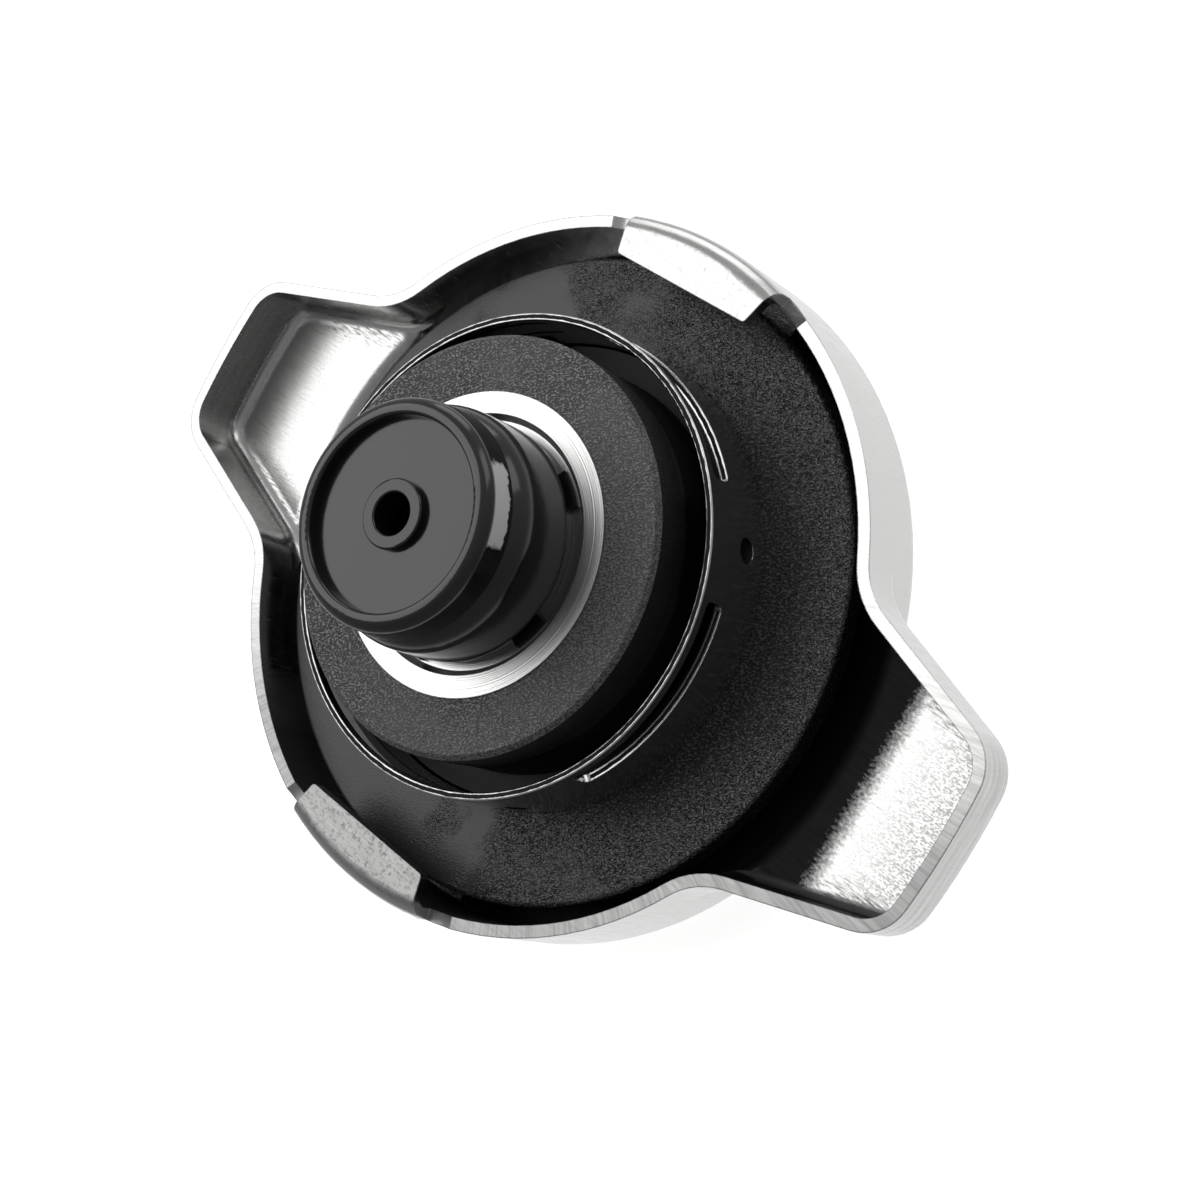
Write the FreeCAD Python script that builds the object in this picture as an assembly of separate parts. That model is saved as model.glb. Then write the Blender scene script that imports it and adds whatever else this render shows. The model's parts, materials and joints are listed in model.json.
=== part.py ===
import FreeCAD, Part

import math
import os

# Radiator pressure cap for a small filler neck.
# Millimetres. Z is the neck's axis and points out of the neck, so the pressed shell is on top and
# the valve stack hangs below. Z = 0 is the sealing face of the upper gasket. X runs along the wings.

V = FreeCAD.Vector
UP = V(0, 0, 1)
CENTRE = V(0, 0, 0)

# Upper gasket, its backing plate and the spring disc
GASKET_RADIUS = 21.5
GASKET_THICKNESS = 1.8
GASKET_ROUND = 0.25
BACKING_SHEET = 0.5
BACKING_INSET = 0.9
DISC_SHEET = 0.4
DISC_HUB = 7.0
DISC_RIM = 1.2
DISC_INSET = 1.8

# Pressed shell, with room round the gasket
SHEET = 0.8
GASKET_ROOM = 1.3
SKIRT_RADIUS = GASKET_RADIUS + GASKET_ROOM + SHEET
HEM_DROP = 2.3
DOME_HEIGHT = 4.9
DOME_EDGE = 1.2
WING_HEIGHT = 2.6
WING_LENGTH = 10.3
WING_REACH = SKIRT_RADIUS + WING_LENGTH
WING_TIP_WIDTH = 11.9
WING_BOW_RADIUS = 50.0
WING_SPLAY = 17.8
WING_CORNER = 3.2
WING_EDGE = 1.8
WING_BLEND = 5.0
WING_STEP = 1.0
RECESS_RADIUS = 8.5
RECESS_DEPTH = 1.1
RECESS_SLOPE = 0.7

# Lock tabs folded in under the neck's cam
TAB_GRIP = 3.0
TAB_BEND = 1.3
TAB_HALF_ANGLE = 15.5
TAB_LAP = 1.5
TAB_CHORD = GASKET_RADIUS - TAB_LAP
TAB_CORNER = 0.3
RELIEF_ANGLE = 9.0
RELIEF_DEPTH = 0.45
RELIEF_RUNOUT = 3.0

# Centre rivet
SHANK_RADIUS = 2.0
SWIVEL_GAP = 0.06
HEAD_RADIUS = 4.6
HEAD_HEIGHT = 1.0
SHOULDER_RADIUS = 4.2
TAIL_RADIUS = 1.7
CLENCH_RADIUS = 2.9
CLENCH_HEIGHT = 0.7
RIVET_WASHER_RADIUS = 5.0
RIVET_WASHER_SHEET = 0.6

# Bell, the housing of the main spring. Its windows stand in two pairs.
BELL_RADIUS = 15.55
BELL_DEPTH = 6.75
BELL_SHEET = 0.5
BELL_BORE = BELL_RADIUS - BELL_SHEET
BELL_BEND = 0.9
BELL_EDGE = 0.1
WINDOW_AXIS = -32.0
WINDOW_PITCH = 80.0
WINDOW_ANGLE = 52.0
WINDOW_HEIGHT = 1.85
WINDOW_MARGIN = 0.68
WINDOW_CORNER = 0.5
DIMPLE_COUNT = 4
DIMPLE_RADIUS = 0.85
DIMPLE_DEPTH = 0.35
DIMPLE_DROP = 2.4

# Pressure valve: a deep plate that the dimples keep in the bell, with a thick rubber seal under it
SLIDE_GAP = 0.08
REST_GAP = 0.03
SEAL_ROOM = 1.65
SEAL_RADIUS = BELL_BORE - SEAL_ROOM
SEAL_PROUD = 2.45
SEAL_THICKNESS = 2.8
SEAL_CHAMFER = 0.3
PLATE_SHEET = 0.5
PLATE_INSET = 0.1
PLATE_CUP_RADIUS = SEAL_RADIUS - PLATE_INSET
PLATE_BEND = 0.8
MAIN_WIRE = 1.6
MAIN_COIL_GAP = 0.25
MAIN_TURNS = 2.75
COIL_GRIND = 0.3

# Stem: a moulded body that snaps through the plate. Its other radii follow the barrel's.
BODY_RADIUS = 7.6
BODY_HEIGHT = 5.15
BODY_TAPER = 0.7
BODY_SHOULDER = 1.75
BODY_ROUND = 0.35
BODY_WALL = 1.5
BORE_RADIUS = BODY_RADIUS - BODY_WALL
LEDGE_WIDTH = 2.6
LEDGE_BORE = BORE_RADIUS - LEDGE_WIDTH
NECK_WALL = 2.1
NECK_RADIUS = LEDGE_BORE + NECK_WALL
SNAP_HOOK = 0.6
SNAP_HEIGHT = 0.7
SNAP_SLOTS = 4
SNAP_SLOT_WIDTH = 1.2
FOOT_INSET = 0.4
FOOT_RADIUS = BODY_RADIUS - FOOT_INSET
FOOT_HEIGHT = 0.55
LUG_COUNT = 5
LUG_START = -54.0
LUG_REACH = 0.6
LUG_WIDTH = 2.4
LUG_ROOT = 0.4
WAIST_INSET = 0.6
WAIST_RADIUS = BODY_RADIUS - WAIST_INSET
WAIST_HEIGHT = 0.4

# Polished washer, whose sunk middle takes the stem's foot and lugs
WASHER_ROOM = 0.1
WASHER_SLOPE = 0.35
WASHER_RING = 1.4
WASHER_RADIUS = FOOT_RADIUS + LUG_REACH + WASHER_ROOM + WASHER_SLOPE + WASHER_RING
WASHER_SHEET = 0.4
WASHER_PROUD = 0.15
WASHER_STEP = 0.4

# Nose pressed into the body's bore, with a thin raised rim and a centre tube
NOSE_INSET = 0.5
NOSE_RADIUS = BODY_RADIUS - NOSE_INSET
NOSE_HEIGHT = 2.3
NOSE_DRAFT = 4.0
NOSE_ROUND = 0.8
NOSE_RIM = 1.15
NOSE_BEAD = 0.25
NOSE_RECESS = 0.8
NOSE_FLOOR = 1.0
GROOVE_DEPTH = 0.1
GROOVE_HEIGHT = 0.25
PLUG_WALL = 1.0
TUBE_RADIUS = 2.15
TUBE_BORE = 1.3
TUBE_HEIGHT = 0.5
TUBE_ROUND = 0.15

# Vacuum valve inside the stem
POPPET_TRAVEL = 1.2
POPPET_STOP_GAP = 0.2
POPPET_DROP = 1.0
POPPET_ROOM = 0.8
POPPET_RADIUS = BORE_RADIUS - POPPET_ROOM
POPPET_SHEET = 0.6
POPPET_RIB_COUNT = 4
POPPET_RIB_WIDTH = 1.0
POPPET_RIB_HEIGHT = 0.6
POPPET_GAP = 0.08
POPPET_BOSS = 2.5
POPPET_BOSS_HEIGHT = 0.9
POPPET_SPIGOT = 0.25
VACUUM_SEAL_HANG = 0.5
VACUUM_SEAL_INNER = LEDGE_BORE - VACUUM_SEAL_HANG
VACUUM_SEAL_INSET = 0.3
VACUUM_SEAL_OUTER = POPPET_RADIUS - VACUUM_SEAL_INSET
VACUUM_SEAL_SHEET = 0.5
VACUUM_WIRE = 0.45
VACUUM_TURNS = 4.5
VACUUM_COIL_GAP = 0.2

# Levels worked out from the sizes
HEM = -HEM_DROP
GASKET_TOP = GASKET_THICKNESS
BACKING_TOP = GASKET_TOP + BACKING_SHEET
RECESS_TOP = DOME_HEIGHT - RECESS_DEPTH
RECESS_UNDER = RECESS_TOP - SHEET
BELL_INSIDE = GASKET_TOP - BELL_SHEET
BELL_RIM = -BELL_DEPTH
SEAL_FACE = BELL_RIM - SEAL_PROUD
CUP_UNDER = SEAL_FACE + SEAL_THICKNESS
CUP_FLOOR = CUP_UNDER + PLATE_SHEET
WASHER_FACE = SEAL_FACE - WASHER_PROUD
WASHER_SEAT = WASHER_FACE + WASHER_STEP
FOOT_FACE = WASHER_SEAT - FOOT_HEIGHT
WAIST_FACE = FOOT_FACE - WAIST_HEIGHT
BODY_FACE = WAIST_FACE - BODY_HEIGHT
GROOVE_FACE = BODY_FACE - GROOVE_HEIGHT
NOSE_FACE = GROOVE_FACE - NOSE_HEIGHT
NOSE_DISC = NOSE_FACE + NOSE_RECESS
NOSE_INSIDE = NOSE_DISC + NOSE_FLOOR
LEDGE = FOOT_FACE - POPPET_DROP
POPPET_TOP = LEDGE - VACUUM_SEAL_SHEET
POPPET_UNDER = POPPET_TOP - POPPET_SHEET
PLUG_END = POPPET_UNDER - POPPET_TRAVEL - POPPET_STOP_GAP


def profile_face(points):
    """A face in the XZ plane from points of radius and height, with arcs given by three points."""
    edges = []
    here = points[0]
    for step in points[1:] + [points[0]]:
        if len(step) == 4:
            middle = V(step[0], 0, step[1])
            end = (step[2], step[3])
            edges.append(Part.Arc(V(here[0], 0, here[1]), middle, V(end[0], 0, end[1])).toShape())
        else:
            end = step
            edges.append(Part.makeLine(V(here[0], 0, here[1]), V(end[0], 0, end[1])))
        here = end
    return Part.Face(Part.Wire(edges))


def turned(points):
    """A solid of revolution about Z."""
    return profile_face(points).revolve(CENTRE, UP, 360)


def arc_step(centre_r, centre_z, radius, start, end):
    """The step of an outline that is an arc from one angle to the other about its centre."""
    middle = math.radians((start + end) / 2)
    last = math.radians(end)
    return (
        centre_r + radius * math.cos(middle), centre_z + radius * math.sin(middle),
        centre_r + radius * math.cos(last), centre_z + radius * math.sin(last),
    )


def crown_step(radius, base, height):
    """The step of an outline that is a ball's cap, from its rim to the axis."""
    ball = (radius ** 2 + height ** 2) / (2 * height)
    half = math.asin(radius / ball) / 2
    return (ball * math.sin(half), base + height - ball + ball * math.cos(half), 0, base + height)


def cylinder(radius, bottom, top):
    return Part.makeCylinder(radius, top - bottom, V(0, 0, bottom))


def ring(outer, inner, bottom, top):
    return cylinder(outer, bottom, top).cut(cylinder(inner, bottom, top))


def sector(outer, inner, bottom, top, start, end):
    """Part of a ring between two angles in degrees."""
    face = profile_face([(inner, bottom), (outer, bottom), (outer, top), (inner, top)])
    solid = face.revolve(CENTRE, UP, end - start)
    solid.rotate(CENTRE, UP, start)
    return solid


def edges_where(shape, test):
    return [edge for edge in shape.Edges if test(edge)]


def is_vertical(edge):
    box = edge.BoundBox
    return box.XLength < 1e-4 and box.YLength < 1e-4


def lies_at(edge, height):
    box = edge.BoundBox
    return abs(box.ZMin - height) < 1e-4 and abs(box.ZMax - height) < 1e-4


def wing_bar(inset):
    """Both wings as one bar with splayed sides and slightly bowed tips with rounded corners."""
    splay = math.radians(WING_SPLAY)
    reach = WING_REACH
    tip = WING_TIP_WIDTH / 2 - inset / math.cos(splay)
    waist = tip + reach * math.tan(splay)
    height = WING_HEIGHT - inset - HEM
    corners = [(reach, -tip), (reach, tip), (0, waist), (-reach, tip), (-reach, -tip), (0, -waist)]
    outline = Part.makePolygon([V(x, y, HEM) for x, y in corners + corners[:1]])
    bar = Part.Face(outline).extrude(V(0, 0, height))
    for azimuth in (0, 180):
        bow = Part.makeCylinder(WING_BOW_RADIUS - inset, height, V(WING_BOW_RADIUS - reach, 0, HEM))
        bow.rotate(CENTRE, UP, azimuth)
        bar = bar.common(bow)
    at_tips = edges_where(bar, lambda e: is_vertical(e) and abs(e.BoundBox.Center.x) > reach / 2)
    return bar.makeFillet(WING_CORNER - inset, at_tips)


def drum(radius, top):
    """The round part, with its seam at the tabs and not under a wing."""
    solid = cylinder(radius, HEM, top)
    solid.rotate(CENTRE, UP, 90)
    return solid


def root_edges(shape, radius):
    """The upright edges where a wing's sides meet the round skirt."""
    def at_root(edge):
        away_from_seam = abs(edge.BoundBox.Center.x) > radius / 3
        on_skirt = all(abs(math.hypot(v.X, v.Y) - radius) < 1e-3 for v in edge.Vertexes)
        return is_vertical(edge) and on_skirt and away_from_seam and edge.BoundBox.ZMin < HEM + 1e-3

    return edges_where(shape, at_root)


def pressing(inset):
    """The shell's outer form, moved inwards by the inset.

    The dome steps down to the wings in a fillet that runs on down the wing's roots. A plate of the
    same outline widens that fillet in plan, so that the hem sweeps out into each wing.
    """
    radius = SKIRT_RADIUS - inset
    top = DOME_HEIGHT - inset
    wing_top = WING_HEIGHT - inset
    edge = WING_EDGE - inset
    bar = wing_bar(inset)
    wings = bar.makeFillet(edge, edges_where(bar, lambda e: lies_at(e, wing_top)))
    form = drum(radius, top).fuse(wings).removeSplitter()
    form = form.makeFillet(WING_STEP + inset, root_edges(form, radius))
    form = form.makeFillet(DOME_EDGE - inset, edges_where(form, lambda e: lies_at(e, top)))
    plate = drum(radius, wing_top).fuse(bar).removeSplitter()
    plate = plate.makeFillet(WING_BLEND + inset, root_edges(plate, radius))
    plate = plate.makeFillet(edge, edges_where(plate, lambda e: lies_at(e, wing_top)))
    return form.fuse(plate).removeSplitter()


def dished(inset):
    """The round recess at the top of the dome, which sinks the rivet's head."""
    top = DOME_HEIGHT - inset
    return Part.makeCone(
        RECESS_RADIUS + inset, RECESS_RADIUS + RECESS_SLOPE + inset, RECESS_DEPTH, V(0, 0, top - RECESS_DEPTH)
    )


def lock_tab(azimuth):
    """A strip of the skirt carried down, bent in and cut straight along its inner edge."""
    under = -TAB_GRIP - SHEET
    wall = SKIRT_RADIUS - SHEET
    bend_r = SKIRT_RADIUS - TAB_BEND
    bend_z = under + TAB_BEND
    inner = TAB_CHORD - SHEET
    section = profile_face([
        (SKIRT_RADIUS, HEM + RELIEF_DEPTH),
        (SKIRT_RADIUS, bend_z),
        arc_step(bend_r, bend_z, TAB_BEND, 0, -90),
        (inner, under),
        (inner, under + SHEET),
        (bend_r, under + SHEET),
        arc_step(bend_r, bend_z, TAB_BEND - SHEET, -90, 0),
        (wall, HEM + RELIEF_DEPTH),
    ])
    tab = section.revolve(CENTRE, UP, 2 * TAB_HALF_ANGLE)
    tab.rotate(CENTRE, UP, -TAB_HALF_ANGLE)
    tab = tab.cut(Part.makeBox(TAB_CHORD, 2 * SKIRT_RADIUS, 4 * SHEET, V(0, -SKIRT_RADIUS, under - SHEET)))
    corners = edges_where(tab, lambda e: is_vertical(e) and abs(e.BoundBox.Center.x - TAB_CHORD) < 1e-3)
    tab = tab.makeFillet(TAB_CORNER, corners)
    tab.rotate(CENTRE, UP, azimuth)
    return tab


def cap_shell():
    outer = pressing(0).cut(dished(0))
    inner = pressing(SHEET).cut(dished(SHEET))
    shell = outer.cut(inner)
    relief = TAB_HALF_ANGLE + RELIEF_ANGLE
    notch_top = HEM + RELIEF_DEPTH
    for azimuth in (90, -90):
        notch = sector(
            SKIRT_RADIUS + SHEET, SKIRT_RADIUS - 2 * SHEET,
            HEM - RELIEF_RUNOUT, notch_top, azimuth - relief, azimuth + relief,
        )
        ends = edges_where(notch, lambda e: lies_flat_and_radial(e) and lies_at(e, notch_top))
        notch = notch.makeFillet(RELIEF_RUNOUT, ends)
        shell = shell.cut(notch).fuse(lock_tab(azimuth))
    hole = cylinder(SHANK_RADIUS + SWIVEL_GAP, RECESS_UNDER - SHEET, DOME_HEIGHT)
    return shell.removeSplitter().cut(hole)


def centre_rivet():
    """Head, shank, shoulder and clenched tail in one turned piece."""
    head = RECESS_TOP + SWIVEL_GAP
    shoulder_top = RECESS_UNDER - DISC_SHEET
    seat = BELL_INSIDE - RIVET_WASHER_SHEET
    return turned([
        (0, seat - CLENCH_HEIGHT),
        (CLENCH_RADIUS - CLENCH_HEIGHT / 2, seat - CLENCH_HEIGHT),
        (CLENCH_RADIUS, seat - CLENCH_HEIGHT / 2),
        (CLENCH_RADIUS, seat),
        (TAIL_RADIUS, seat),
        (TAIL_RADIUS, BACKING_TOP),
        (SHOULDER_RADIUS, BACKING_TOP),
        (SHOULDER_RADIUS, shoulder_top),
        (SHANK_RADIUS, shoulder_top),
        (SHANK_RADIUS, head),
        (HEAD_RADIUS, head),
        crown_step(HEAD_RADIUS, head, HEAD_HEIGHT),
    ])


def disc_spring():
    """Dished spring steel between the shell and the gasket's backing plate."""
    hub_top = RECESS_UNDER
    rim = GASKET_RADIUS - DISC_INSET
    return turned([
        (SHANK_RADIUS, hub_top - DISC_SHEET),
        (DISC_HUB, hub_top - DISC_SHEET),
        (rim - DISC_RIM, BACKING_TOP),
        (rim, BACKING_TOP),
        (rim, BACKING_TOP + DISC_SHEET),
        (rim - DISC_RIM, BACKING_TOP + DISC_SHEET),
        (DISC_HUB, hub_top),
        (SHANK_RADIUS, hub_top),
    ])


def backing_plate():
    return ring(GASKET_RADIUS - BACKING_INSET, TAIL_RADIUS, GASKET_TOP, BACKING_TOP)


def upper_gasket():
    rubber = ring(GASKET_RADIUS, BELL_RADIUS, 0, GASKET_TOP)
    rim = edges_where(rubber, lambda e: abs(e.BoundBox.XMax - GASKET_RADIUS) < 1e-3 and e.BoundBox.ZLength < 1e-3)
    return rubber.makeFillet(GASKET_ROUND, rim)


def rivet_washer():
    return ring(RIVET_WASHER_RADIUS, TAIL_RADIUS, BELL_INSIDE - RIVET_WASHER_SHEET, BELL_INSIDE)


def bell_housing():
    """Drawn cup with windows over its open rim and four dimples that keep the valve plate in."""
    bend_r = BELL_RADIUS - BELL_BEND
    bend_z = GASKET_TOP - BELL_BEND
    edge_z = BELL_RIM + BELL_EDGE
    bell = turned([
        (TAIL_RADIUS, BELL_INSIDE),
        (bend_r, BELL_INSIDE),
        arc_step(bend_r, bend_z, BELL_BEND - BELL_SHEET, 90, 0),
        (BELL_BORE, edge_z),
        arc_step(BELL_BORE + BELL_EDGE, edge_z, BELL_EDGE, 180, 270),
        (BELL_RADIUS - BELL_EDGE, BELL_RIM),
        arc_step(BELL_RADIUS - BELL_EDGE, edge_z, BELL_EDGE, -90, 0),
        (BELL_RADIUS, bend_z),
        arc_step(bend_r, bend_z, BELL_BEND, 0, 90),
        (TAIL_RADIUS, GASKET_TOP),
    ])
    sill = BELL_RIM + WINDOW_MARGIN
    for axis in (WINDOW_AXIS, WINDOW_AXIS + 180):
        for centre in (axis - WINDOW_PITCH / 2, axis + WINDOW_PITCH / 2):
            window = sector(
                BELL_RADIUS + BELL_SHEET, BELL_BORE - BELL_SHEET, sill, sill + WINDOW_HEIGHT,
                centre - WINDOW_ANGLE / 2, centre + WINDOW_ANGLE / 2,
            )
            ends = edges_where(window, lies_flat_and_radial)
            bell = bell.cut(window.makeFillet(WINDOW_CORNER, ends))
    for index in range(DIMPLE_COUNT):
        azimuth = WINDOW_AXIS + index * 360 / DIMPLE_COUNT
        bump = dimple_ball(BELL_SHEET, azimuth).common(cylinder(BELL_BORE, BELL_RIM, BELL_INSIDE))
        bell = bell.fuse(bump).cut(dimple_ball(0, azimuth))
    return bell.removeSplitter()


def lies_flat_and_radial(edge):
    """True for a straight edge that points at the axis."""
    if len(edge.Vertexes) != 2:
        return False
    first, last = edge.Vertexes[0].Point, edge.Vertexes[-1].Point
    level = abs(first.z - last.z) < 1e-4
    along = abs(first.x * last.y - first.y * last.x) < 1e-4
    return level and along


def dimple_form():
    """Radius of the punch that marks the bell's wall, and how far its centre is from the axis."""
    punch = (DIMPLE_RADIUS ** 2 + DIMPLE_DEPTH ** 2) / (2 * DIMPLE_DEPTH)
    return punch, BELL_RADIUS - DIMPLE_DEPTH + punch


def dimple_ball(thickness, azimuth):
    """The punch's ball, grown by the thickness."""
    punch, centre = dimple_form()
    ball = Part.makeSphere(punch + thickness, V(centre, 0, -DIMPLE_DROP))
    ball.rotate(CENTRE, UP, azimuth)
    return ball


def flange_levels():
    """Under and upper face of the valve plate's flange, which rests on the dimples' bumps."""
    punch, centre = dimple_form()
    rise = math.sqrt((punch + BELL_SHEET) ** 2 - (centre - BELL_BORE + SLIDE_GAP) ** 2)
    under = rise - DIMPLE_DROP + REST_GAP
    return under, under + PLATE_SHEET


def coil(mean_radius, wire, turns, bottom, top):
    """A compression spring with a share of the end wires ground flat."""
    grind = wire * COIL_GRIND
    low = bottom + grind
    height = top - bottom - 2 * grind
    path = Part.makeHelix(height / turns, height, mean_radius)
    path.translate(V(0, 0, low))
    round_wire = Part.Wire(Part.makeCircle(wire / 2, V(mean_radius, 0, low), V(0, 1, 0)))
    spring = Part.Wire(path).makePipeShell([round_wire], True, True)
    return spring.common(cylinder(mean_radius + wire, bottom, top))


def main_spring():
    mean = PLATE_CUP_RADIUS - PLATE_SHEET - MAIN_COIL_GAP - MAIN_WIRE / 2
    return coil(mean, MAIN_WIRE, MAIN_TURNS, CUP_FLOOR, BELL_INSIDE)


def valve_plate():
    """Deep steel cup with the seal under it, the main spring in it and a flange inside the bell."""
    under, top = flange_levels()
    rim = BELL_BORE - SLIDE_GAP
    cup_inside = PLATE_CUP_RADIUS - PLATE_SHEET
    bend_r = PLATE_CUP_RADIUS - PLATE_BEND
    bend_z = CUP_UNDER + PLATE_BEND
    return turned([
        (NECK_RADIUS, CUP_UNDER),
        (bend_r, CUP_UNDER),
        arc_step(bend_r, bend_z, PLATE_BEND, -90, 0),
        (PLATE_CUP_RADIUS, under),
        (rim, under),
        (rim, top),
        (cup_inside, top),
        (cup_inside, bend_z),
        arc_step(bend_r, bend_z, PLATE_BEND - PLATE_SHEET, 0, -90),
        (NECK_RADIUS, CUP_FLOOR),
    ])


def washer_profile():
    """Radii and levels of the washer's face, from its outer edge to its hole."""
    ring_inner = WASHER_RADIUS - WASHER_RING
    seat_outer = ring_inner - WASHER_SLOPE
    return ring_inner, seat_outer


def valve_seal():
    """Rubber disc with a recess that the polished washer beds into."""
    ring_inner, seat_outer = washer_profile()
    ring_back = WASHER_FACE + WASHER_SHEET
    seat_back = WASHER_SEAT + WASHER_SHEET
    return turned([
        (NECK_RADIUS, seat_back),
        (seat_outer, seat_back),
        (ring_inner, ring_back),
        (WASHER_RADIUS, ring_back),
        (WASHER_RADIUS, SEAL_FACE),
        (SEAL_RADIUS - SEAL_CHAMFER, SEAL_FACE),
        (SEAL_RADIUS, SEAL_FACE + SEAL_CHAMFER),
        (SEAL_RADIUS, CUP_UNDER),
        (NECK_RADIUS, CUP_UNDER),
    ])


def seal_washer():
    ring_inner, seat_outer = washer_profile()
    return turned([
        (NECK_RADIUS, WASHER_SEAT),
        (seat_outer, WASHER_SEAT),
        (ring_inner, WASHER_FACE),
        (WASHER_RADIUS, WASHER_FACE),
        (WASHER_RADIUS, WASHER_FACE + WASHER_SHEET),
        (ring_inner, WASHER_FACE + WASHER_SHEET),
        (seat_outer, WASHER_SEAT + WASHER_SHEET),
        (NECK_RADIUS, WASHER_SEAT + WASHER_SHEET),
    ])


def stem_body():
    """Moulded body with a foot, a waist and a tapered barrel below the washer and a slotted snap above it."""
    snap_top = CUP_FLOOR + SNAP_HEIGHT
    snap_radius = NECK_RADIUS + SNAP_HOOK
    taper_arc = (BODY_TAPER ** 2 + BODY_SHOULDER ** 2) / (2 * BODY_TAPER)
    taper_angle = math.degrees(math.asin(BODY_SHOULDER / taper_arc))
    body = turned([
        (BORE_RADIUS, BODY_FACE),
        (BODY_RADIUS - BODY_TAPER, BODY_FACE),
        arc_step(BODY_RADIUS - taper_arc, BODY_FACE + BODY_SHOULDER, taper_arc, -taper_angle, 0),
        (BODY_RADIUS, WAIST_FACE - BODY_ROUND),
        arc_step(BODY_RADIUS - BODY_ROUND, WAIST_FACE - BODY_ROUND, BODY_ROUND, 0, 90),
        (WAIST_RADIUS, WAIST_FACE),
        (WAIST_RADIUS, FOOT_FACE),
        (FOOT_RADIUS, FOOT_FACE),
        (FOOT_RADIUS, WASHER_SEAT),
        (NECK_RADIUS, WASHER_SEAT),
        (NECK_RADIUS, CUP_FLOOR),
        (snap_radius, CUP_FLOOR),
        (NECK_RADIUS, snap_top),
        (LEDGE_BORE, snap_top),
        (LEDGE_BORE, LEDGE),
        (BORE_RADIUS, LEDGE),
    ])
    for index in range(SNAP_SLOTS):
        slot = Part.makeBox(
            snap_radius, SNAP_SLOT_WIDTH, snap_top - CUP_FLOOR,
            V(LEDGE_BORE / 2, -SNAP_SLOT_WIDTH / 2, CUP_FLOOR),
        )
        slot.rotate(CENTRE, UP, index * 360 / SNAP_SLOTS)
        body = body.cut(slot)
    reach = FOOT_RADIUS + LUG_REACH
    half = math.degrees(LUG_WIDTH / 2 / reach)
    for index in range(LUG_COUNT):
        azimuth = LUG_START + index * 360 / LUG_COUNT
        lug = sector(reach, FOOT_RADIUS - LUG_ROOT, FOOT_FACE, WASHER_SEAT, azimuth - half, azimuth + half)
        body = body.fuse(lug)
    return body.removeSplitter()


def stem_nose():
    """Nose with a raised rim, a recessed face and a centre tube, and a plug that fits the body's bore."""
    rim_inner = NOSE_RADIUS - NOSE_RIM
    side_end = NOSE_RADIUS + (NOSE_HEIGHT - NOSE_ROUND) * math.tan(math.radians(NOSE_DRAFT))
    groove = BORE_RADIUS - GROOVE_DEPTH
    plug_inner = BORE_RADIUS - PLUG_WALL
    tube_face = NOSE_DISC - TUBE_HEIGHT
    return turned([
        (TUBE_BORE, tube_face + TUBE_ROUND),
        arc_step(TUBE_BORE + TUBE_ROUND, tube_face + TUBE_ROUND, TUBE_ROUND, 180, 270),
        (TUBE_RADIUS - TUBE_ROUND, tube_face),
        arc_step(TUBE_RADIUS - TUBE_ROUND, tube_face + TUBE_ROUND, TUBE_ROUND, -90, 0),
        (TUBE_RADIUS, NOSE_DISC),
        (rim_inner, NOSE_DISC),
        (rim_inner, NOSE_FACE + NOSE_BEAD),
        arc_step(rim_inner + NOSE_BEAD, NOSE_FACE + NOSE_BEAD, NOSE_BEAD, 180, 270),
        (NOSE_RADIUS - NOSE_ROUND, NOSE_FACE),
        arc_step(NOSE_RADIUS - NOSE_ROUND, NOSE_FACE + NOSE_ROUND, NOSE_ROUND, -90, 0),
        (side_end, GROOVE_FACE),
        (groove, GROOVE_FACE),
        (groove, BODY_FACE),
        (BORE_RADIUS, BODY_FACE),
        (BORE_RADIUS, PLUG_END),
        (plug_inner, PLUG_END),
        (plug_inner, NOSE_INSIDE),
        (TUBE_BORE, NOSE_INSIDE),
    ])


def vacuum_poppet():
    """Plate that shuts the ledge from below, guided by ribs in the bore, with a boss for its spring."""
    poppet = cylinder(POPPET_RADIUS, POPPET_UNDER, POPPET_TOP)
    poppet = poppet.fuse(cylinder(VACUUM_SEAL_INNER, POPPET_TOP, POPPET_TOP + POPPET_SPIGOT))
    poppet = poppet.fuse(cylinder(POPPET_BOSS, POPPET_UNDER - POPPET_BOSS_HEIGHT, POPPET_UNDER))
    guide = BORE_RADIUS - POPPET_GAP
    for index in range(POPPET_RIB_COUNT):
        rib = Part.makeBox(
            guide - POPPET_RADIUS + POPPET_RIB_WIDTH, POPPET_RIB_WIDTH, POPPET_RIB_HEIGHT,
            V(POPPET_RADIUS - POPPET_RIB_WIDTH, -POPPET_RIB_WIDTH / 2, POPPET_UNDER),
        )
        rib.rotate(CENTRE, UP, (index + 0.5) * 360 / POPPET_RIB_COUNT)
        poppet = poppet.fuse(rib.common(cylinder(guide, POPPET_UNDER, POPPET_UNDER + POPPET_RIB_HEIGHT)))
    return poppet.removeSplitter()


def vacuum_seal():
    return ring(VACUUM_SEAL_OUTER, VACUUM_SEAL_INNER, POPPET_TOP, LEDGE)


def vacuum_spring():
    mean = POPPET_BOSS + VACUUM_COIL_GAP + VACUUM_WIRE / 2
    return coil(mean, VACUUM_WIRE, VACUUM_TURNS, NOSE_INSIDE, POPPET_UNDER)


PIECES = (
    cap_shell, centre_rivet, disc_spring, backing_plate, upper_gasket, rivet_washer, bell_housing,
    main_spring, valve_plate, valve_seal, seal_washer, stem_body, stem_nose,
    vacuum_poppet, vacuum_seal, vacuum_spring,
)

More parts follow.
